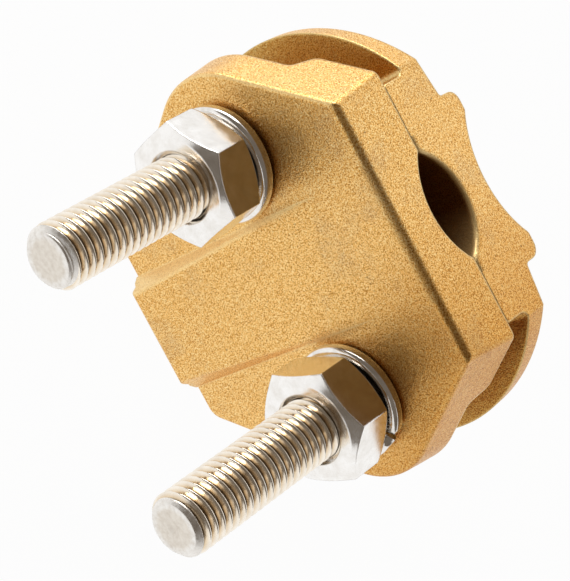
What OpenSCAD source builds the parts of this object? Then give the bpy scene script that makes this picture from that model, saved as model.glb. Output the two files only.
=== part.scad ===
// U-bolt ground rod clamp: two cast halves held on a U-bolt by two nuts over split lock washers.
// z runs along the ground rod, x across the two legs, and the nuts face -y.
// The origin lies on the parting face of the castings, midway between the legs.

/* [U-bolt] */
// thread diameter of the legs
leg_d = 10; // [8:0.5:12]
// distance between the leg centres
leg_spacing = 40; // [38:0.5:46]
// length of the left leg beyond the front face
leg_reach_left = 38; // [34:0.5:60]
// length of the right leg beyond the front face
leg_reach_right = 41; // [34:0.5:60]
// chamfer on each leg end
leg_chamfer = 1.1; // [0.5:0.1:2]
// room for the rod between the saddle and the bend
rod_room = 13.4; // [9:0.2:30]
// radial clearance of a leg in its cast hole
hole_clear = 0.5; // [0.3:0.05:1]

/* [Castings] */
// distance from the leg plane to the top end
top_end = 24.9; // [22:0.1:34]
// distance from the leg plane to the flat foot end
foot_end = 31.7; // [26:0.1:40]
// half width of the front casting across its lobes
cast_half = 34.7; // [33:0.1:38]
// half width of the foot end before rounding
foot_half = 16.8; // [15:0.2:18]
// draft angle of the end walls and of the rear casting
draft = 2.2; // [0.5:0.1:4]
// rounding of the two foot corners
foot_round = 3; // [1:0.5:4]
// rounding of the outer cast edges
edge_round = 0.7; // [0.3:0.05:0.8]
// rounding of the inner cast corners
inner_round = 1.2; // [0.4:0.1:1.6]

/* [Front casting] */
// thickness of the front casting
front_t = 10.4; // [9:0.1:16]
// half width of its top end before rounding
top_half = 21.4; // [19:0.2:24]
// rounding of its two top corners
top_round = 1.4; // [0.8:0.1:4]
// draft angle of its lobes and flanks
side_draft = 6.5; // [3:0.1:8]
// rounding of its top edge
fold_round = 1.3; // [0.5:0.1:2]
// rise of the sloping pad at the foot end
pad_rise = 3; // [1:0.1:5]
// half width of the pad at the face
pad_half = 10.1; // [6:0.1:11]
// height where the pad runs out into the face
pad_fade = 13; // [4:0.5:20]
// slope of the pad flanks from upright
pad_lean = 38; // [5:1:50]
// rounding of the pad edges
pad_round = 1; // [0.3:0.1:1.5]
// depth of the relief round each leg on the parting side
relief_deep = 3.7; // [1:0.1:5]
// half width of the relief at its floor
relief_half = 13.9; // [10:0.1:15]
// run of the sloping relief wall
relief_run = 2; // [1:0.1:3]
// rounding of the relief mouth
relief_round = 1.6; // [0.5:0.1:2]

/* [Rear casting] */
// thickness from the parting face to the bottom of the rod saddle
saddle_t = 10.6; // [9:0.1:16]
// radius of the rod saddle
saddle_r = 17.2; // [12:0.1:30]
// height of the lips above the saddle bottom
lip_rise = 3.4; // [1.5:0.1:5]
// distance from the middle to the outer wall of a lip
lip_out = 13.8; // [12:0.1:14.5]
// rounding of the outer lip edge
lip_round = 1.9; // [0.8:0.1:3]
// half width of the land that meets the front casting
land_half = 19.3; // [16:0.1:22]
// front of the end flanges behind the parting face
flange_front = 4.9; // [3:0.1:6]
// back of the flanges beside the lips
flange_back = 10.2; // [8.5:0.1:12]
// back of the flanges at their outer ends
flange_tip_back = 7.3; // [6.5:0.1:9]
// radius of the rear lobes
flange_r = 28.2; // [25:0.1:30]
// height of the rear lobe centres above the leg plane
flange_rise = 1.1; // [0:0.1:3]
// set-back of the rear lobes from the front ones
flange_inset = 1.4; // [0.5:0.1:3]

/* [Cable groove] */
// half width of the groove at the parting face
cable_half = 8.7; // [5:0.1:11]
// depth of the groove in the front casting
cable_front = 3.3; // [1.5:0.1:5]
// depth of the groove in the rear casting
cable_rear = 4.9; // [2:0.1:6]

/* [Nuts and washers] */
// width across flats of the nuts
nut_af = 17; // [15:0.5:21]
// thickness of the nuts
nut_t = 8; // [6:0.2:12]
// diameter of the flat ring on each nut face
nut_ring = 15.4; // [13.5:0.1:20]
// angle of the nut corner chamfer
nut_chamfer = 30; // [15:1:40]
// radial clearance of the nut bore on the leg
nut_clear = 0.06; // [0.02:0.01:0.1]
// countersink at each end of the nut bore
nut_sink = 0.7; // [0.3:0.1:1.2]
// turn of the left nut
nut_turn_left = 41; // [0:1:60]
// turn of the right nut
nut_turn_right = 16; // [0:1:60]
// outer diameter of the lock washers
washer_od = 18.6; // [17:0.1:22]
// thickness of the washer section
washer_t = 2.2; // [1.5:0.1:3]
// offset between the two ends of a washer
washer_rise = 0.9; // [0.3:0.1:2]
// radial clearance of the washer on the leg
washer_clear = 0.1; // [0.05:0.01:0.5]
// width of the washer split
washer_split = 1.2; // [0.6:0.1:2.5]
// direction of the left washer split
split_left = 250; // [0:5:355]
// direction of the right washer split
split_right = 40; // [0:5:355]

/* [Hidden] */
$fn = 96;
round_steps = 6;
corner_strips = 3;
leg_r = leg_d / 2;
leg_x = leg_spacing / 2;
hole_r = leg_r + hole_clear;
far = 80;
slip = 0.5;
lip_y = saddle_t + lip_rise;
bend_inner = leg_x - leg_r;
bend_y = saddle_t + rod_room - bend_inner;
front_y = -front_t;
washer_h = washer_t + washer_rise;
nut_y = front_y - washer_h;
washer_r = washer_od / 2;
washer_bore = leg_r + washer_clear;
nut_bore = leg_r + nut_clear;
steel = "silver";
bronze = "goldenrod";
cable_front_r = (cable_half * cable_half + cable_front * cable_front) / (2 * cable_front);
cable_rear_r = (cable_half * cable_half + cable_rear * cable_rear) / (2 * cable_rear);

// Outline of the front casting: a round lobe about each leg between straight flanks along its tangents,
// which stop a little short of the touch points, less than 0.01 mm outside the lobe.
top_corner = [top_half, top_end];
foot_corner = [foot_half, -foot_end];
lobe_r = cast_half - leg_x;
lobe_c = [leg_x, 0];
touch_high = lobe_c + on_circle(lobe_r, tangent_turn(top_corner, lobe_c, lobe_r, -1));
touch_low = lobe_c + on_circle(lobe_r, tangent_turn(foot_corner, lobe_c, lobe_r, 1));
lobe_high = touch_high + slip * unit(top_corner - touch_high);
lobe_low = touch_low + slip * unit(foot_corner - touch_low);
front_side = [foot_corner, lobe_low, lobe_c, lobe_high, top_corner];

// Outline of the rear casting: straight lower flanks that leave the two lobe circles tangentially.
flange_half = cast_half - flange_inset;
flange_x = flange_half - flange_r + flange_front * tan(draft);
flange_c = [flange_x, flange_rise];
flank = flange_c + on_circle(flange_r, tangent_turn(foot_corner, flange_c, flange_r, 1));
flange_slope = (flange_back - flange_tip_back) / (flange_half - lip_out);
flange_far = flange_back - flange_slope * (far / 2 - lip_out);
rear_side = [foot_corner, flank, flange_c, [flange_x, top_end]];

function unit(v) = v / norm(v);
function half_angle(v, a, b) = acos(unit(a - v) * unit(b - v)) / 2;
function round_centre(v, a, b, r) = v + unit(unit(a - v) + unit(b - v)) * r / sin(half_angle(v, a, b));
function round_start(v, a, b, r) = v + unit(a - v) * r / tan(half_angle(v, a, b));
function flip(v) = [-v[0], v[1]];
function both_sides(list) = concat(list, [for (i = [len(list) - 1 : -1 : 0]) flip(list[i])]);
function on_circle(r, turn) = r * [cos(turn), sin(turn)];
function outward(p, q) = [unit(q - p)[1], -unit(q - p)[0]];

// Direction from a circle's centre to the point where a line from p touches it.
function tangent_turn(p, c, r, way) = atan2(p[1] - c[1], p[0] - c[0]) + way * acos(r / norm(p - c));

// Drift of a corner, per unit of height, between walls of outward directions m and n that lean inwards.
function drift(m, n, lean_m, lean_n) =
  let (c = m * n)
  (n * (c * tan(lean_m) - tan(lean_n)) + m * (c * tan(lean_n) - tan(lean_m))) / (1 - c * c);

// Flat strips that round the corner v between walls from a and to b: each as two points and a lean.
function strips(a, v, b, r, lean_a, lean_b) =
  let (first = outward(a, v), last = outward(v, b))
  let (move = drift(first, last, lean_a, lean_b), centre = round_centre(v, a, b, r))
  [
    for (i = [1 : corner_strips])
      let (out = unit(first + (last - first) * i / (corner_strips + 1)), along = [-out[1], out[0]])
      [centre + r * out - along, centre + r * out + along, atan(-move * out)]
  ];

// Turns the working plane so that x and y become x and z, and height grows towards -y.
module upright() {
  rotate([90, 0, 0])
    children();
}

// What lies outside a wall on the line from p to q that leans inwards, with its run past each end.
module outside_wall(p, q, lean, before = far, after = far) {
  run = q - p;
  translate([p[0], p[1], 0])
    rotate([0, 0, atan2(run[1], run[0])])
      rotate([-lean, 0, 0])
        translate([-before, -far, -slip])
          cube([before + norm(run) + after, far, far]);
}

// Sliver between a rounding about m and the corner it replaces, from touch point s past the corner v to t.
module sliver(m, s, v, t, r) {
  start = atan2(s[1] - m[1], s[0] - m[0]);
  turn = atan2(t[1] - m[1], t[0] - m[0]) - start;
  sweep = turn - 360 * round(turn / 360);
  arc = [for (i = [1 : round_steps - 1]) m + on_circle(r, start + sweep * i / round_steps)];
  polygon(concat([2 * t - arc[round_steps - 2], m + 1.6 * (v - m), 2 * s - arc[0]], arc));
}

// Sliver at the corner v between straight sides that run to a and b.
module corner_sliver(v, a, b, r) {
  sliver(round_centre(v, a, b, r), round_start(v, a, b, r), v, round_start(v, b, a, r), r);
}

// Slivers at both mouth edges of a round groove sunk into material below the x axis.
module mouth_slivers(groove_r, deep, r) {
  centre = [0, groove_r - deep];
  x = sqrt(pow(groove_r + r, 2) - pow(centre[1] + r, 2));
  edge = sqrt(groove_r * groove_r - centre[1] * centre[1]);
  m = [x, -r];
  for (side = [0, 1])
    mirror([side, 0])
      sliver(m, [x, 0], [edge, 0], centre + (m - centre) * groove_r / (groove_r + r), r);
}

// Half section of a round boss with drafted wall and rounded upper edge, to be turned about its axis.
module boss_section(r, lean, h, edge) {
  top_r = r - h * tan(lean);
  difference() {
    polygon([[0, 0], [r, 0], [top_r, h], [0, h]]);
    corner_sliver([top_r, h], [r, 0], [0, h], edge);
  }
}

// What lies outside one straight side of the front half: its drafted wall and its rounded front edge.
module front_edge(p, q, lean, before = far, after = far, edge = edge_round) {
  run = q - p;
  outside_wall(p, q, lean, before, after);
  translate([p[0], p[1], 0])
    rotate([0, 0, atan2(run[1], run[0])])
      rotate([90, 0, 90])
        translate([0, 0, -before])
          linear_extrude(height = before + norm(run) + after)
            corner_sliver([front_t * tan(lean), front_t], [0, 0], [far, front_t], edge);
}

// Front half: drafted plate with round lobes and a rounded front edge.
module front_plate() {
  difference() {
    union() {
      linear_extrude(height = front_t)
        polygon(both_sides(front_side));
      for (side = [-1, 1])
        translate([side * leg_x, 0, 0])
          rotate_extrude()
            boss_section(lobe_r, side_draft, front_t, edge_round);
    }
    for (side = [0, 1])
      mirror([side, 0, 0]) {
        front_edge(foot_corner, lobe_low, side_draft, far, slip / 2);
        front_edge(lobe_high, top_corner, side_draft, slip / 2, far);
        for (s = strips(flip(foot_corner), foot_corner, lobe_low, foot_round, 0, side_draft))
          front_edge(s[0], s[1], s[2]);
        for (s = strips(lobe_high, top_corner, flip(top_corner), top_round, side_draft, draft))
          front_edge(s[0], s[1], s[2]);
      }
    front_edge(top_corner, flip(top_corner), draft, edge = fold_round);
    front_edge(flip(foot_corner), foot_corner, 0);
  }
}

// Sloping pad on the front face, highest at the foot end, between two leaning flanks.
module pad() {
  high = [-foot_end, front_t + pad_rise];
  fade = [pad_fade, front_t];
  low = [-foot_end, front_t - edge_round];
  difference() {
    rotate([90, 0, 90])
      translate([0, 0, -pad_half])
        linear_extrude(height = 2 * pad_half)
          difference() {
            polygon([low, [pad_fade, front_t - edge_round], fade, high]);
            corner_sliver(high, fade, low, pad_round);
          }
    for (side = [0, 1])
      mirror([side, 0, 0])
        pad_side();
  }
}

// What lies outside one side of the pad: its flank, its rounded upper edge and its rounded foot corner.
module pad_side() {
  inset = pad_rise * tan(pad_lean);
  run = pad_fade + foot_end;
  translate([pad_half, 0, front_t])
    rotate([0, -pad_lean, 0])
      translate([0, -far, -slip])
        cube([far, 2 * far, far]);
  translate([pad_half, pad_fade, front_t])
    rotate([90 - atan2(pad_rise, run), 0, -atan2(inset, run)])
      translate([0, 0, -slip])
        linear_extrude(height = run + far)
          corner_sliver([0, 0], [-far, 0], [sin(pad_lean), -cos(pad_lean)], pad_round);
  linear_extrude(height = front_t + pad_rise + slip)
    corner_sliver([pad_half - inset / 2, -foot_end], [0, -foot_end], [pad_half, 0], pad_round);
}

module leg_holes(y0, y1) {
  for (side = [-1, 1])
    translate([side * leg_x, y1, 0])
      upright()
        cylinder(h = y1 - y0, r = hole_r);
}

// Section of the relief: a flat floor between two sloping walls with rounded ends.
module relief_section() {
  run = relief_run / relief_deep;
  mouth = relief_half + relief_run;
  difference() {
    union() {
      polygon([
        [slip, -mouth - slip * run], [-relief_deep, -relief_half],
        [-relief_deep, relief_half], [slip, mouth + slip * run]
      ]);
      for (side = [0, 1])
        mirror([0, side])
          corner_sliver([0, mouth], [0, far], [-relief_deep, relief_half], relief_round);
    }
    for (side = [0, 1])
      mirror([0, side])
        corner_sliver([-relief_deep, relief_half], [0, mouth], [-relief_deep, 0], inner_round);
  }
}

// Relief round each leg on the parting side, open at the outer end.
module reliefs() {
  for (side = [-1, 1])
    translate([side > 0 ? leg_x - hole_r - 1 : -far, 0, 0])
      rotate([90, 0, 90])
        linear_extrude(height = far - leg_x + hole_r + 1)
          relief_section();
}

module front_casting() {
  color(bronze)
    difference() {
      upright()
        union() {
          front_plate();
          pad();
        }
      translate([0, 0, -far])
        linear_extrude(height = 2 * far)
          union() {
            translate([0, cable_front_r - cable_front])
              circle(r = cable_front_r);
            mouth_slivers(cable_front_r, cable_front, edge_round);
          }
      reliefs();
      leg_holes(front_y - pad_rise - 1, 1);
    }
}

// Cross-section of the rear half: land, end flanges, lips and rod saddle.
module rear_section() {
  land = [land_half, 0];
  root = [land_half, flange_front];
  tip = [far / 2, flange_front];
  back = [far / 2, flange_far];
  step = [lip_out, flange_back];
  lip = [lip_out, lip_y];
  difference() {
    union() {
      polygon(both_sides([land, root, tip, back, step, lip]));
      for (side = [0, 1])
        mirror([side, 0]) {
          corner_sliver(root, land, tip, inner_round);
          corner_sliver(step, back, lip, edge_round);
        }
    }
    for (side = [0, 1])
      mirror([side, 0]) {
        corner_sliver(land, [0, 0], root, edge_round);
        corner_sliver(lip, step, [0, lip_y], lip_round);
      }
    translate([0, saddle_t + saddle_r])
      circle(r = saddle_r);
    translate([0, lip_y])
      mouth_slivers(saddle_r, lip_rise, edge_round);
    translate([0, cable_rear - cable_rear_r])
      circle(r = cable_rear_r);
    mirror([0, 1])
      mouth_slivers(cable_rear_r, cable_rear, edge_round);
  }
}

// Drafted block with the rear outline, from the parting face to past the lips.
module rear_block() {
  block_h = lip_y + 1;
  mirror([0, 1, 0])
    upright()
      difference() {
        union() {
          linear_extrude(height = block_h)
            polygon(both_sides(rear_side));
          for (side = [-1, 1])
            translate([side * flange_x, flange_rise, 0])
              cylinder(h = block_h, r1 = flange_r, r2 = flange_r - block_h * tan(draft));
        }
        outside_wall([flange_x, top_end], [-flange_x, top_end], draft);
        for (side = [0, 1])
          mirror([side, 0, 0]) {
            outside_wall(foot_corner, flank, draft);
            for (s = strips(flip(foot_corner), foot_corner, flank, foot_round, 0, draft))
              outside_wall(s[0], s[1], s[2]);
          }
      }
}

module rear_casting() {
  color(bronze)
    difference() {
      intersection() {
        rear_block();
        translate([0, 0, -foot_end - 1])
          linear_extrude(height = foot_end + top_end + 2)
            rear_section();
      }
      leg_holes(-1, lip_y + 1);
    }
}

module leg(side, reach) {
  straight = bend_y - front_y + reach;
  translate([side * leg_x, bend_y, 0])
    upright() {
      cylinder(h = straight - leg_chamfer, r = leg_r);
      translate([0, 0, straight - leg_chamfer])
        cylinder(h = leg_chamfer, r1 = leg_r, r2 = leg_r - leg_chamfer);
    }
}

module u_bolt() {
  color(steel)
    union() {
      leg(-1, leg_reach_left);
      leg(1, leg_reach_right);
      translate([0, bend_y, 0])
        rotate_extrude(angle = 180)
          translate([leg_x, 0])
            circle(r = leg_r);
    }
}

// Helical slab that gives a washer its sprung faces, one turn from split to split.
module sprung_slab() {
  steps = 40;
  inner = washer_bore - 1;
  outer = washer_r + 1;
  turn = 360 / steps;
  points = [
    for (i = [0 : steps])
      for (k = [0 : 3])
        let (r = (k == 0 || k == 3) ? inner : outer)
        let (base = washer_rise * i / steps)
        [r * cos(i * turn), r * sin(i * turn), k < 2 ? base : base + washer_t]
  ];
  sides = [
    for (i = [0 : steps - 1])
      for (k = [0 : 3])
        let (a = 4 * i + k, b = 4 * i + (k + 1) % 4)
        each [[a, a + 4, b], [b, a + 4, b + 4]]
  ];
  last = 4 * steps;
  ends = [[0, 1, 2], [0, 2, 3], [last, last + 2, last + 1], [last, last + 3, last + 2]];
  polyhedron(points, concat(sides, ends));
}

module lock_washer(split) {
  rotate([0, 0, split])
    difference() {
      intersection() {
        difference() {
          translate([0, 0, -slip])
            cylinder(h = washer_h + 2 * slip, r = washer_r);
          translate([0, 0, -2 * slip])
            cylinder(h = washer_h + 4 * slip, r = washer_bore);
        }
        sprung_slab();
      }
      translate([0, 0, washer_h / 2])
        rotate([20, 0, 0])
          translate([0, -washer_split / 2, -far / 4])
            cube([far / 4, washer_split, far / 2]);
    }
}

module washer_at(side, split) {
  color(steel)
    translate([side * leg_x, front_y, 0])
      upright()
        lock_washer(split);
}

module washer_left() {
  washer_at(-1, split_left);
}

module washer_right() {
  washer_at(1, split_right);
}

// Hexagon nut with corner chamfers on both faces and a countersunk bore.
module hex_nut() {
  corner_r = nut_af / sqrt(3);
  drop = (corner_r + 1 - nut_ring / 2) * tan(nut_chamfer);
  difference() {
    intersection() {
      cylinder(h = nut_t, r = corner_r, $fn = 6);
      rotate_extrude()
        polygon([
          [0, 0], [nut_ring / 2, 0], [corner_r + 1, drop], [corner_r + 1, nut_t - drop],
          [nut_ring / 2, nut_t], [0, nut_t]
        ]);
    }
    translate([0, 0, -1])
      cylinder(h = nut_t + 2, r = nut_bore);
    translate([0, 0, -slip])
      cylinder(h = slip + nut_sink, r1 = nut_bore + nut_sink + slip, r2 = nut_bore);
    translate([0, 0, nut_t - nut_sink])
      cylinder(h = slip + nut_sink, r1 = nut_bore, r2 = nut_bore + nut_sink + slip);
  }
}

module nut_at(side, turn) {
  color(steel)
    translate([side * leg_x, nut_y, 0])
      upright()
        rotate([0, 0, turn])
          hex_nut();
}

module nut_left() {
  nut_at(-1, nut_turn_left);
}

module nut_right() {
  nut_at(1, nut_turn_right);
}

front_casting();
rear_casting();
u_bolt();
washer_left();
washer_right();
nut_left();
nut_right();
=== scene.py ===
import bpy
import numpy as np
from mathutils import Matrix, Vector


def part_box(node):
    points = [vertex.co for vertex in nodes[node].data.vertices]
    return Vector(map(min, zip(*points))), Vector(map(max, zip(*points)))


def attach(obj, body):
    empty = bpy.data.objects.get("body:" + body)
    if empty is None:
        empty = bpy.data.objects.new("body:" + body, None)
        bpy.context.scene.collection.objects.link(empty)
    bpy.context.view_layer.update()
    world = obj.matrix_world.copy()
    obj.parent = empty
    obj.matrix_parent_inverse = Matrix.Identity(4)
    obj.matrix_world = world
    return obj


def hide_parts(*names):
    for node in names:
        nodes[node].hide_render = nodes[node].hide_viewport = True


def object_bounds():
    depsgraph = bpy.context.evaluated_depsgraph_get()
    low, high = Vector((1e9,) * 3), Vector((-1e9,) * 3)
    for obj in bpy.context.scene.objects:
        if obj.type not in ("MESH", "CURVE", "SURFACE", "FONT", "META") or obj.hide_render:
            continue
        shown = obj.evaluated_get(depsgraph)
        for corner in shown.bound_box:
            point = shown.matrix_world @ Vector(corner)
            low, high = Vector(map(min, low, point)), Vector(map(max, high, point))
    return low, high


# U-bolt ground rod clamp: gunmetal castings and stainless hardware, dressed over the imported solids
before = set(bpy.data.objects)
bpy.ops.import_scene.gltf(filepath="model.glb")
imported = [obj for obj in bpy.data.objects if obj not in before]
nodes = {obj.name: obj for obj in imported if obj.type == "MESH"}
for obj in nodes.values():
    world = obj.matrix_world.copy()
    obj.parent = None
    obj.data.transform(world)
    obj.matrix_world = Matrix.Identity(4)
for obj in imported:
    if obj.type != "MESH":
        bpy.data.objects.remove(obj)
solidBox = [list(corner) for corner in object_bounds()]
print("frame loaded with", len(nodes), "solids")


# shared helpers

def hexToLinear(code):  # sRGB hex to the linear colour that shader sockets take
    srgb = np.array([int(code[i:i + 2], 16) for i in (1, 3, 5)]) / 255.0
    linear = np.where(srgb <= 0.04045, srgb / 12.92, ((srgb + 0.055) / 1.055) ** 2.4)
    return (*linear.tolist(), 1.0)


def perMm(size):  # texture scale that gives features of this many millimetres
    return 1000.0 / size


def addNode(tree, kind, settings=None, links=None):  # one node with its settings and incoming links
    node = tree.nodes.new(kind)
    for key, value in (settings or {}).items():
        if key == "stops":  # colour ramp, each stop a position and a hex colour
            elements = node.color_ramp.elements
            for place, code in value[2:]:
                elements.new(place)
            for element, (place, code) in zip(elements, value):
                element.position, element.color = place, hexToLinear(code)
        elif isinstance(key, str) and hasattr(node, key):
            setattr(node, key, value)
        else:
            node.inputs[key].default_value = value
    for key, source in (links or {}).items():
        tree.links.new(source, node.inputs[key])
    return node


def newMaterial(name):
    material = bpy.data.materials.new(name)
    material.use_nodes = True
    material.node_tree.nodes.clear()
    return material, material.node_tree


def finishMaterial(tree, shader):
    addNode(tree, "ShaderNodeOutputMaterial", links={"Surface": shader.outputs[0]})


def addNoise(tree, place, sizeMm, detail, roughness):  # noise value with features of this size
    noise = addNode(tree, "ShaderNodeTexNoise", {
        "Scale": perMm(sizeMm), "Detail": detail, "Roughness": roughness}, {"Vector": place})
    return noise.outputs["Fac"]


def addMath(tree, operation, *inputs):  # math value, each input a socket or a number
    numbers = {i: entry for i, entry in enumerate(inputs) if isinstance(entry, float)}
    sockets = {i: entry for i, entry in enumerate(inputs) if not isinstance(entry, float)}
    return addNode(tree, "ShaderNodeMath", {"operation": operation, **numbers}, sockets).outputs[0]


def addBetween(tree, value, start, end):  # one between the two limits and nothing outside them
    return addMath(tree, "COMPARE", value, (start + end) / 2, (end - start) / 2)


def addRange(tree, value, limits, most=1.0, least=0.0):  # climbs from least to most between limits
    climb = addNode(tree, "ShaderNodeMapRange", {
        "From Min": limits[0], "From Max": limits[1], "To Min": least, "To Max": most}, {
        "Value": value})
    return climb.outputs[0]


def addTint(tree, share, colour, code, blend="MIX"):  # colour carried by a share to a hex colour
    mix = addNode(tree, "ShaderNodeMix", {
        "data_type": "RGBA", "blend_type": blend, 7: hexToLinear(code)}, {0: share, 6: colour})
    return mix.outputs[2]


def addBump(tree, height, normal, strength, deepMm):  # normal roughened by a height
    bump = addNode(tree, "ShaderNodeBump", {"Strength": strength, "Distance": deepMm / 1000}, {
        "Height": height, "Normal": normal})
    return bump.outputs[0]


def tubeFaces(rows, around):  # quads of a grid that closes on itself across its rows
    i, j = np.meshgrid(np.arange(rows - 1), np.arange(around), indexing="ij")
    k = (j + 1) % around
    quads = [i * around + j, i * around + k, (i + 1) * around + k, (i + 1) * around + j]
    return np.stack(quads, axis=-1).reshape(-1, 4)


def makePiece(name, points, faces):  # smooth mesh object at the origin
    mesh = bpy.data.meshes.new(name)
    mesh.from_pydata(points.tolist(), [], faces)
    mesh.polygons.foreach_set("use_smooth", np.ones(len(mesh.polygons), bool))
    mesh.update()
    piece = bpy.data.objects.new(name, mesh)
    bpy.context.scene.collection.objects.link(piece)
    return piece


def tubePiece(name, rings):  # closed skin over rings, with a fan to the middle of each end ring
    rows, around = rings.shape[:2]
    points = np.vstack([rings.reshape(-1, 3), rings[0].mean(0), rings[-1].mean(0)])
    j = np.arange(around)
    k = (j + 1) % around
    first, last = rows * around, (rows - 1) * around
    startFan = np.stack([k, j, np.full(around, first)], axis=-1)
    endFan = np.stack([last + j, last + k, np.full(around, first + 1)], axis=-1)
    faces = tubeFaces(rows, around).tolist() + startFan.tolist() + endFan.tolist()
    return makePiece(name, points, faces)


def nodePoints(name):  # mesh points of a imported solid
    mesh = nodes[name].data
    points = np.zeros(len(mesh.vertices) * 3, np.float32)
    mesh.vertices.foreach_get("co", points)
    return points.reshape(-1, 3).astype(float)


def dress(name, material):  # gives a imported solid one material
    nodes[name].data.materials.clear()
    nodes[name].data.materials.append(material)


# camera at the photograph's viewing angle
cameraPlace = {
    "at": (-0.024988, -0.20916, 0.212918),
    "right": (0.46922, 0.61969, 0.62913),
    "up": (-0.87862, 0.39915, 0.26213),
    "back": (-0.08868, -0.67576, 0.73176),
    "lens": 121.777, "clipStart": 0.01,
}

cameraData = bpy.data.cameras.new("photoCamera")
cameraData.lens = cameraPlace["lens"]
cameraData.clip_start = cameraPlace["clipStart"]
camera = bpy.data.objects.new("photoCamera", cameraData)
columns = np.array([cameraPlace[key] for key in ("right", "up", "back", "at")]).T
camera.matrix_world = Matrix(np.vstack([columns, [0, 0, 0, 1]]).tolist())
bpy.context.scene.collection.objects.link(camera)
bpy.context.scene.camera = camera
print("camera placed")


# gunmetal castings
gunmetal = {
    "hollow": "#bb7f30", "body": "#f9c168", "peak": "#ffe2a2",  # low, middle and high tones
    "tones": (0.37, 0.50, 0.63),  # grain values of these tones
    "grain": (0.21, 2.0, 0.6), "blast": (0.55, 2.0, 0.6),  # millimetres, detail and roughness
    "skin": (2.6, 2.0, 0.5), "blotch": (9.0, 4.0, 0.62), "pitMm": 1.7, "turn": (0.6, 0.4, 0.9),
    "stain": "#b8a080", "stainRange": (0.54, 0.72), "stainMost": 0.5,
    "pit": "#7a5220", "pitRange": (0.13, 0.06), "pitMost": 0.7, "pitPatch": (0.54, 0.64),
    # painted shade towards the top of the right-hand lobe
    "shadeTint": "#e4d2b0", "shadeWay": (0.8, 0.0, 0.5), "shadeRange": (0.010, 0.030),
    # painted shade in the groove and on the rear flanges' fronts, darker still in the groove
    "recessShade": "#e2e4d2", "seatFront": 0.0042, "seatBack": 0.005, "endInset": 0.0003,
    "deep": "#b89a70", "deepDull": 0.26, "grooveHalf": 0.0086, "grooveFront": -0.0034,
    "edgeMm": 0.6, "edgeSamples": 8,
    "mouthMm": 1.2, "mouthHalf": 0.011, "mouthFront": 0.0001, "mouthBack": 0.0081,
    "fadeMm": 2.4, "fadeRange": (-0.010, 0.004), "faceFront": -0.010,
    # paler edges, partly rubbed wear and partly painted highlight
    "paleEdgeRange": (0.98, 0.85), "paleEdgeMost": 0.75,
    # painted highlight on the left-hand slants
    "leanRange": (-0.12, -0.42), "leanMost": 0.55, "frontRange": (-0.40, -0.55),
    "waveBump": (0.25, 0.3), "pockBump": (0.4, 0.15), "sparkleBump": (0.6, 0.1),  # strength, mm
    "dullRange": (0.3, 0.7), "roughness": (0.44, 0.32), "film": 0.22, "filmRoughness": 0.45,
}


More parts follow.
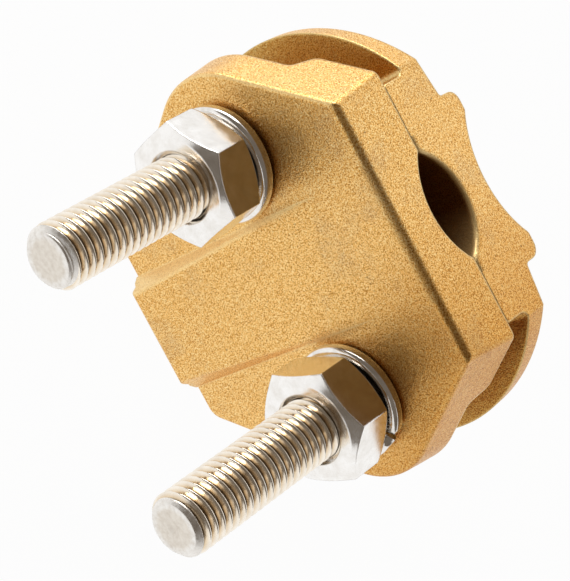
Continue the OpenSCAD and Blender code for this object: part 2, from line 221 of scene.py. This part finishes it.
def makeGunmetal(settings):
    # Gunmetal, sand cast and shot blasted: a warm yellow metal, softly matt, whose fine grain
    # sparkles pale. The grain is drawn at about a fifth of a millimetre, coarser than the real
    # pocks, so that it shows.
    material, tree = newMaterial("gunmetalSandCastBlasted")
    coords = addNode(tree, "ShaderNodeTexCoord")
    straight = coords.outputs["Object"]
    # turned so that no flat face lies along the noise's own grid
    turned = addNode(tree, "ShaderNodeMapping", {"Rotation": settings["turn"]}, {
        "Vector": straight}).outputs[0]
    grain, blast, skin, blotch = [
        addNoise(tree, turned, *settings[key]) for key in ("grain", "blast", "skin", "blotch")]
    pit = addNode(tree, "ShaderNodeTexVoronoi", {"Scale": perMm(settings["pitMm"])}, {
        "Vector": turned})

    tones = [settings[key] for key in ("hollow", "body", "peak")]
    colour = addNode(tree, "ShaderNodeValToRGB", {"stops": list(zip(settings["tones"], tones))}, {
        "Fac": grain}).outputs["Color"]
    stainShare = addRange(tree, blotch, settings["stainRange"], settings["stainMost"])
    colour = addTint(tree, addMath(tree, "MULTIPLY", stainShare, blast), colour, settings["stain"])
    pitShare = addRange(tree, pit.outputs["Distance"], settings["pitRange"], settings["pitMost"])
    pitPatch = addRange(tree, skin, settings["pitPatch"])
    colour = addTint(tree, addMath(tree, "MULTIPLY", pitShare, pitPatch), colour, settings["pit"])

    # painted shade, darker towards the lower right as the camera sees it, the top of the right-hand
    # lobe
    shadeReach = addNode(tree, "ShaderNodeVectorMath", {
        "operation": "DOT_PRODUCT", 1: settings["shadeWay"]}, {0: straight})
    shadeShare = addRange(tree, shadeReach.outputs["Value"], settings["shadeRange"])
    colour = addTint(tree, shadeShare, colour, settings["shadeTint"], "MULTIPLY")

    # painted shade, browner in the recesses where shade falls: the groove, and the fronts of the
    # rear flanges
    low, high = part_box("front_casting")
    x, y, z = addNode(tree, "ShaderNodeSeparateXYZ", links={0: straight}).outputs
    grooveWide = addBetween(tree, x, -settings["grooveHalf"], settings["grooveHalf"])
    grooveDeep = addBetween(tree, y, settings["grooveFront"], settings["seatBack"])
    seatDeep = addBetween(tree, y, settings["seatFront"], settings["seatBack"])
    lengthwise = addBetween(tree, z, low.z + settings["endInset"], high.z - settings["endInset"])
    groove = addMath(tree, "MULTIPLY", grooveWide, grooveDeep)
    inside = addMath(tree, "MAXIMUM", groove, seatDeep)
    recessShade = addMath(tree, "MULTIPLY", inside, lengthwise)
    colour = addTint(tree, recessShade, colour, settings["recessShade"], "MULTIPLY")
    # and painted shade darker still along the groove itself, which is also duller, keeping its rough
    # cast skin
    grooved = addMath(tree, "MULTIPLY", groove, lengthwise)
    colour = addTint(tree, grooved, colour, settings["deep"], "MULTIPLY")

    # softer edges at the mouth of the rear half's groove, and where the pad runs out into the face
    mouthWide = addBetween(tree, x, -settings["mouthHalf"], settings["mouthHalf"])
    mouthDeep = addBetween(tree, y, settings["mouthFront"], settings["mouthBack"])
    mouth = addMath(tree, "MULTIPLY", mouthWide, mouthDeep)
    runOut = addRange(tree, z, settings["fadeRange"], settings["fadeMm"] / 1000)
    padEnd = addMath(tree, "MULTIPLY", runOut, mouthWide)
    onFace = addMath(tree, "LESS_THAN", y, settings["faceFront"])
    edgeSize = addMath(tree, "MULTIPLY_ADD", padEnd, onFace, settings["edgeMm"] / 1000)
    edgeSize = addMath(tree, "MULTIPLY_ADD", mouth, settings["mouthMm"] / 1000, edgeSize)

    # paler edges, partly rubbed wear and partly painted highlight: where the softened normal leaves
    # the true one
    soft = addNode(tree, "ShaderNodeBevel", {"samples": settings["edgeSamples"]}, {
        "Radius": edgeSize}).outputs[0]
    geometry = addNode(tree, "ShaderNodeNewGeometry")
    bent = addNode(tree, "ShaderNodeVectorMath", {"operation": "DOT_PRODUCT"}, {
        0: soft, 1: geometry.outputs["True Normal"]})
    edgeWearAndHighlight = addRange(tree, bent.outputs["Value"], settings["paleEdgeRange"], settings["paleEdgeMost"])
    # and a painted highlight on the left-hand slants of the front, the pad's flank and the plate's
    # rounded edge
    facing = addNode(tree, "ShaderNodeSeparateXYZ", links={0: coords.outputs["Normal"]})
    leaning = addRange(tree, facing.outputs["X"], settings["leanRange"], settings["leanMost"])
    fronting = addRange(tree, facing.outputs["Y"], settings["frontRange"])
    litSlant = addMath(tree, "MULTIPLY", leaning, fronting)
    wearAndHighlight = addMath(tree, "MAXIMUM", edgeWearAndHighlight, litSlant)
    colour = addTint(tree, wearAndHighlight, colour, settings["peak"])

    normal = addBump(tree, skin, soft, *settings["waveBump"])
    normal = addBump(tree, blast, normal, *settings["pockBump"])
    normal = addBump(tree, grain, normal, *settings["sparkleBump"])
    dullest, brightest = settings["roughness"]
    dull = addRange(tree, grain, settings["dullRange"], brightest, dullest)
    dull = addMath(tree, "MULTIPLY_ADD", grooved, settings["deepDull"], dull)
    shader = addNode(tree, "ShaderNodeBsdfPrincipled", {
        "Metallic": 1.0, "Coat Weight": settings["film"],
        "Coat Roughness": settings["filmRoughness"]}, {
        "Base Color": colour, "Roughness": dull, "Normal": normal, "Coat Normal": normal})
    finishMaterial(tree, shader)
    return material


castMaterial = makeGunmetal(gunmetal)
for name in ("front_casting", "rear_casting"):
    dress(name, castMaterial)
print("castings dressed")


# corners of the pad at the foot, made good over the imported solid's own rounding
padCorner = {
    "face": -0.0104, "half": 0.0101, "lean": 38.0, "wide": 0.0024, "deep": 0.0013, "under": 0.00001,
    "rises": (-0.0007, 0.0, 0.001, 0.00125, 0.0015),  # heights of the rings over the face
    "rounds": (0.00004, 0.00004, 0.00004, 0.0005, 0.001),  # rounding of the corner at each ring
    "arc": 8,
}


def makePadCorner(name, side, settings):
    # Rings up a leaning corner: a block under the flank and the foot end, its outer edge rounded
    # more as it climbs
    rise = np.array(settings["rises"])[:, None]
    rounding = np.array(settings["rounds"])[:, None]
    setBack = np.maximum(rise, 0) * np.tan(np.radians(settings["lean"]))
    edgeX = settings["half"] - setBack - settings["under"]
    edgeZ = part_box("front_casting")[0].z + settings["under"]
    swing = np.linspace(0, np.pi / 2, settings["arc"])[None, :]
    inner = np.full_like(rise, settings["half"] - settings["wide"])
    back = np.full_like(rise, edgeZ + settings["deep"])
    across = np.hstack([inner, inner, edgeX - rounding * (1 - np.sin(swing)), edgeX])
    foot = np.full_like(rise, edgeZ)
    along = np.hstack([back, foot, edgeZ + rounding * (1 - np.cos(swing)), back])
    outward = settings["face"] - rise * np.ones_like(across)
    rings = np.stack([side * across, outward, along], axis=-1)
    piece = tubePiece(name, rings if side > 0 else rings[:, ::-1])
    piece.data.materials.append(castMaterial)
    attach(piece, "front_half")


makePadCorner("padCornerLeft", -1, padCorner)
makePadCorner("padCornerRight", 1, padCorner)
print("pad corners made")


# steels of the hardware
anySteel = {
    "tones": (0.30, 0.62), "dullRange": (0.35, 0.70),  # scuff values
    "markNoise": (3.0, 0.6), "scuffNoise": (4.0, 0.6),  # detail and roughness
    "dentMm": 0.2, "lineMm": 0.04, "edgeSamples": 6,
}


def makeSteel(name, own):
    # Bright stainless steel: a smooth metal with faint scuffs, its marks stretched along the way
    # it was worked
    settings = {**anySteel, **own}
    material, tree = newMaterial(name)
    place = addNode(tree, "ShaderNodeTexCoord").outputs["Object"]
    along = addNode(tree, "ShaderNodeMapping", {"Scale": settings["stretch"]}, {"Vector": place})
    marks = addNoise(tree, along.outputs[0], settings["markMm"], *settings["markNoise"])
    scuffs = addNoise(tree, place, settings["scuffMm"], *settings["scuffNoise"])
    tones = [settings["dark"], settings["bright"]]
    colour = addNode(tree, "ShaderNodeValToRGB", {"stops": list(zip(settings["tones"], tones))}, {
        "Fac": scuffs}).outputs[0]
    if "depth" in settings:  # tint by the distance from the leg's axis, with an uneven border
        depth = addNode(tree, "ShaderNodeAttribute", {"attribute_name": "axisShare"}).outputs["Fac"]
        uneven = addMath(tree, "MULTIPLY_ADD", scuffs, settings["uneven"], depth)
        tint = addNode(tree, "ShaderNodeValToRGB", {"stops": settings["depth"]}, {"Fac": uneven})
        colour = addNode(tree, "ShaderNodeMix", {
            "data_type": "RGBA", "blend_type": "MULTIPLY", 0: 1.0}, {
            6: colour, 7: tint.outputs[0]}).outputs[2]
    brightest, dullest = settings["roughness"]
    dull = addRange(tree, scuffs, settings["dullRange"], dullest, brightest)
    soft = addNode(tree, "ShaderNodeBevel", {
        "samples": settings["edgeSamples"], "Radius": settings["edgeMm"] / 1000}).outputs[0]
    normal = addBump(tree, scuffs, soft, settings["dent"], settings["dentMm"])
    normal = addBump(tree, marks, normal, settings["line"], settings["lineMm"])
    shader = addNode(tree, "ShaderNodeBsdfPrincipled", {"Metallic": 1.0}, {
        "Base Color": colour, "Roughness": dull, "Normal": normal})
    finishMaterial(tree, shader)
    return material


rolledSteel = {  # thread and bend, rolled bright
    "dark": "#efe5d6", "bright": "#fdf5e8",
    "markMm": 0.5, "stretch": (1.0, 6.0, 1.0), "scuffMm": 2.0,
    "roughness": (0.15, 0.21), "edgeMm": 0.05, "dent": 0.03, "line": 0.12,
    # painted shade in the thread's roots and a painted warm reflection of the casting on its flanks
    "depth": [(0.83, "#5e4c36"), (0.89, "#eedfc8"), (0.985, "#ffffff")], "uneven": 0.02,
}
croppedSteel = {  # leg ends, cropped and left matt
    "dark": "#e2dcd4", "bright": "#faf7f2",
    "markMm": 0.35, "stretch": (1.0, 1.0, 1.0), "scuffMm": 0.9,
    "roughness": (0.36, 0.5), "edgeMm": 0.1, "dent": 0.3, "line": 0.4,
    "depth": [(0.66, "#f3efe9"), (0.80, "#ffffff")], "uneven": 0.18,
}
formedSteel = {  # nuts, cold formed and tumbled bright
    "dark": "#ece8e2", "bright": "#fbf9f6",
    "markMm": 0.4, "stretch": (1.0, 0.25, 1.0), "scuffMm": 2.4,
    "roughness": (0.14, 0.22), "edgeMm": 0.35, "dent": 0.04, "line": 0.10,
}
springSteel = {  # washers, wound from bright rolled bar
    "dark": "#e0dbd4", "bright": "#f6f3ef",
    "markMm": 0.4, "stretch": (1.0, 5.0, 1.0), "scuffMm": 2.0,
    "roughness": (0.12, 0.20), "edgeMm": 0.05, "dent": 0.03, "line": 0.1,
}
boltMaterial = makeSteel("stainlessSteelRolledThread", rolledSteel)
endMaterial = makeSteel("stainlessSteelCroppedEnd", croppedSteel)
nutMaterial = makeSteel("stainlessSteelColdFormedNut", formedSteel)
washerMaterial = makeSteel("stainlessSteelRolledWasher", springSteel)
for name in ("nut_left", "nut_right"):
    dress(name, nutMaterial)
print("nuts dressed")


# threaded U-bolt
uBolt = {
    "pitch": 0.0015, "rootDepth": 0.00088, "soften": 0.00002, "threadBehindFace": 0.006,
    "fadePitches": 2, "tipChamfer": 0.0011,
    "around": 72, "rowsPerPitch": 20, "plainRows": 12, "bendRows": 56,
    "capRings": (0.97, 0.93, 0.7, 0.4, 0.22, 0.12),  # rings of an end face, as shares of its radius
    "dimple": 0.0005, "dimpleShare": 0.25,
}


def threadRadius(travel, turn, radius, settings):
    # Sixty degree ridge: a triangle wave 0.866 of a pitch high, cut off an eighth below its peak
    # and at the root, with both bends softened
    pitch, soften = settings["pitch"], settings["soften"]
    height = 0.866 * pitch
    phase = np.mod(travel / pitch - turn / (2 * np.pi), 1.0)
    ridge = radius + height / 8 - height * np.abs(2 * phase - 1)
    root = radius - settings["rootDepth"]
    ridge = 0.5 * (ridge + root + np.hypot(ridge - root, soften))
    return 0.5 * (ridge + radius - np.hypot(ridge - radius, soften))


def legRings(tip, side, legX, radius, bendY, faceY, settings):
    # Rings down one leg: the thread's radius, faded out at its inner end and trimmed by the cone
    # of the tip chamfer
    way = -side  # the left leg is skinned from its tip and the right one towards it
    step = settings["pitch"] / settings["rowsPerPitch"]
    threaded = faceY + settings["threadBehindFace"] - tip
    fade = settings["fadePitches"] * settings["pitch"]
    fine = np.arange(0.0, threaded + fade, step)
    plain = np.linspace(threaded + fade, bendY - tip, settings["plainRows"])[:-1]
    depth = np.concatenate([fine, plain])[:, None]
    turn = np.linspace(0, 2 * np.pi, settings["around"], endpoint=False)[None, :]
    share = np.clip((threaded + fade - depth) / fade, 0, 1)
    share = share * share * (3 - 2 * share)  # eased at both ends
    cut = radius - threadRadius(way * depth, turn, radius, settings)
    size = np.minimum(radius - cut * share, radius - settings["tipChamfer"] + depth)
    ends = np.array(settings["capRings"])[::-1, None] * (radius - settings["tipChamfer"])
    size = np.vstack([ends * np.ones_like(turn), size])
    reach = np.vstack([np.zeros_like(ends), depth])
    if side > 0:  # the right leg's end has a dimple
        hollow = np.clip(1 - ends / (settings["dimpleShare"] * radius), 0, 1)
        reach[:len(ends)] = settings["dimple"] * hollow
    rings = np.stack([
        side * legX - way * size * np.cos(turn),
        tip + reach * np.ones_like(turn),
        size * np.sin(turn)], axis=-1)
    return rings if way > 0 else rings[::-1]


def makeUBolt(settings):
    points = nodePoints("u_bolt")
    high = points.max(0)
    radius = high[2]
    legX = high[0] - radius
    bendY = high[1] - high[0]
    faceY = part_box("washer_left")[1].y
    tips = [points[points[:, 0] < 0][:, 1].min(), points[points[:, 0] > 0][:, 1].min()]
    left = legRings(tips[0], -1, legX, radius, bendY, faceY, settings)
    right = legRings(tips[1], 1, legX, radius, bendY, faceY, settings)
    # The bend is a half torus: the same ring carried round a half circle between the legs
    swing = np.linspace(np.pi, 0, settings["bendRows"])[:, None]
    turn = np.linspace(0, 2 * np.pi, settings["around"], endpoint=False)[None, :]
    span = legX + radius * np.cos(turn)
    bend = np.stack([
        span * np.cos(swing), bendY + span * np.sin(swing),
        radius * np.sin(turn) * np.ones_like(swing)], axis=-1)
    rings = np.concatenate([left, bend, right])
    piece = tubePiece("uBolt", rings)
    piece.data.materials.append(boltMaterial)
    piece.data.materials.append(endMaterial)
    # the cropped look reaches over both end faces and their chamfers
    chamferRows = int(settings["tipChamfer"] / settings["pitch"] * settings["rowsPerPitch"])
    endRows = len(settings["capRings"]) + chamferRows
    index = np.zeros(len(piece.data.polygons), np.int32)
    index[:endRows * settings["around"]] = 1
    index[(len(rings) - 1 - endRows) * settings["around"]:] = 1
    piece.data.polygons.foreach_set("material_index", index)
    # distance of each point from its leg's axis as a share of the radius, and one all over the bend
    axisShare = np.hypot(np.abs(rings[..., 0]) - legX, rings[..., 2]) / radius
    axisShare[len(left):len(left) + len(bend)] = 1.0
    layer = piece.data.attributes.new("axisShare", "FLOAT", "POINT")
    layer.data.foreach_set("value", np.append(axisShare.ravel(), [0.0, 0.0]).astype(np.float32))
    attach(piece, "bolt")
    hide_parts("u_bolt")
    return piece


uBoltPiece = makeUBolt(uBolt)
print("U-bolt threaded:", len(uBoltPiece.data.polygons), "faces")


# split lock washers
lockWasher = {
    "thick": 0.0022, "rise": 0.0009, "bore": 0.0051, "split": 0.0012, "slant": 0.36,
    "corner": 0.0008, "arc": 8, "steps": 140, "splitLeft": 250.0, "splitRight": 40.0,
}


def makeWasher(name, node, body, leg, splitTurn, settings):
    # A bar section with rounded corners carried once round the leg while it climbs by the rise,
    # with a slanted split
    low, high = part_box(node)
    centreX = 0.5 * (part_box(leg)[0].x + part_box(leg)[1].x)
    outer = max(high.x - centreX, centreX - low.x)
    middle, halfWide = (outer + settings["bore"]) / 2, (outer - settings["bore"]) / 2
    halfThick, corner = settings["thick"] / 2, settings["corner"]
    gap = settings["split"] / middle / 2
    climb = np.linspace(gap, 2 * np.pi - gap, settings["steps"])[:, None]
    quarter = np.linspace(0, np.pi / 2, settings["arc"])
    section = np.concatenate([quarter + k * np.pi / 2 for k in range(4)])[::-1]
    centres = np.repeat([[1, 1], [-1, 1], [-1, -1], [1, -1]], settings["arc"], axis=0)[::-1]
    across = (centres[:, 0] * (halfWide - corner) + corner * np.cos(section))[None, :]
    upward = (centres[:, 1] * (halfThick - corner) + corner * np.sin(section))[None, :]
    span = middle + across
    height = halfThick + upward + settings["rise"] * climb / (2 * np.pi)
    turn = climb + np.radians(splitTurn) - settings["slant"] * (height - halfThick) / middle
    rings = np.stack([
        centreX + span * np.cos(turn), high.y - height, span * np.sin(turn)], axis=-1)
    piece = tubePiece(name, rings)
    piece.data.materials.append(washerMaterial)
    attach(piece, body)
    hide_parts(node)


makeWasher("lockWasherLeft", "washer_left", "lock_washer_left", "nut_left",
           lockWasher["splitLeft"], lockWasher)
makeWasher("lockWasherRight", "washer_right", "lock_washer_right", "nut_right",
           lockWasher["splitRight"], lockWasher)
print("washers made")


# white studio board, flat in front and swept up behind
board = {
    "hub": 0.02, "flat": 0.9, "cove": 0.6, "wall": 2.4, "wallLean": 0.01, "front": 8.0,
    "riseStart": -0.1, "riseSpan": 0.4,  # sine of the turn where the rim starts to rise
    "rings": 48, "around": 120, "colour": "#f7f6f4", "glow": 0.97,
}


def makeBoard(settings):
    # A disc whose rim turns up behind the object: a quarter-circle cove and a wall carried round
    # the vertical, with their height faded out towards the front, where the rim lies flat and
    # reaches further
    bend = np.linspace(0, np.pi / 2, settings["rings"])
    radii = np.concatenate([
        np.linspace(settings["hub"], settings["flat"], settings["rings"]),
        settings["flat"] + settings["cove"] * np.sin(bend)[1:],
        [settings["flat"] + settings["cove"] + settings["wallLean"]]])
    heights = np.concatenate([
        np.zeros(settings["rings"]), settings["cove"] * (1 - np.cos(bend))[1:], [settings["wall"]]])
    turn = np.linspace(0, 2 * np.pi, settings["around"], endpoint=False)[None, :]
    behind = np.clip((np.sin(turn) - settings["riseStart"]) / settings["riseSpan"], 0, 1)
    spread = radii[:, None] * np.ones_like(turn)
    spread[-1] += settings["front"] * (1 - behind[0])
    floorZ = solidBox[0][2]
    rings = np.stack([
        spread * np.cos(turn), spread * np.sin(turn),
        floorZ + heights[:, None] * behind], axis=-1)
    points = np.vstack([rings.reshape(-1, 3), [[0, 0, floorZ]]])
    j = np.arange(settings["around"])
    hub = np.stack([j, np.roll(j, -1), np.full(len(j), len(points) - 1)], axis=-1)
    faces = tubeFaces(len(rings), len(j))[:, ::-1].tolist() + hub.tolist()
    piece = makePiece("studioBoard", points, faces)

    # Matt white board: plain diffuse, lifted to white where it is seen directly or mirrored, so
    # that shadows stay faint
    material, tree = newMaterial("whiteBoardMatt")
    path = addNode(tree, "ShaderNodeLightPath")
    seen = addMath(tree, "MAXIMUM", path.outputs["Is Camera Ray"], path.outputs["Is Glossy Ray"])
    seen = addMath(tree, "MAXIMUM", seen, path.outputs["Is Transmission Ray"])
    share = addMath(tree, "MULTIPLY", seen, settings["glow"])
    matt = addNode(tree, "ShaderNodeBsdfDiffuse", {"Color": hexToLinear(settings["colour"])})
    white = addNode(tree, "ShaderNodeEmission", {"Strength": 1.0})
    mixed = addNode(tree, "ShaderNodeMixShader", links={
        0: share, 1: matt.outputs[0], 2: white.outputs[0]})
    finishMaterial(tree, mixed)
    piece.data.materials.append(material)


makeBoard(board)
print("studio board made")


# soft lamps and a dim room
lamps = {
    "leftBox": {"from": (-0.92, 0.16, 0.36), "far": 0.6, "size": (0.28, 0.40), "radiance": 5.5},
    "backBox": {"from": (0.10, 0.60, 0.79), "far": 0.9, "size": (0.5, 0.5), "radiance": 0.45},
}
roomShade = {"colour": "#a3978a", "strength": 0.44}


def makeLamp(name, settings):
    direction = Vector(settings["from"]).normalized()
    data = bpy.data.lights.new(name, "AREA")
    data.shape = "RECTANGLE"
    data.size, data.size_y = settings["size"]
    data.energy = settings["radiance"] * np.pi * data.size * data.size_y
    lamp = bpy.data.objects.new(name, data)
    lamp.location = direction * settings["far"]
    lamp.rotation_euler = direction.to_track_quat("Z", "Y").to_euler()
    lamp.visible_camera = False
    bpy.context.scene.collection.objects.link(lamp)


for name, settings in lamps.items():
    makeLamp(name, settings)
room = bpy.data.worlds.new("dimRoom")
room.use_nodes = True
background = room.node_tree.nodes["Background"]
background.inputs["Color"].default_value = hexToLinear(roomShade["colour"])
background.inputs["Strength"].default_value = roomShade["strength"]
bpy.context.scene.world = room
bpy.context.scene.view_settings.view_transform = "Standard"
print("lamps set")
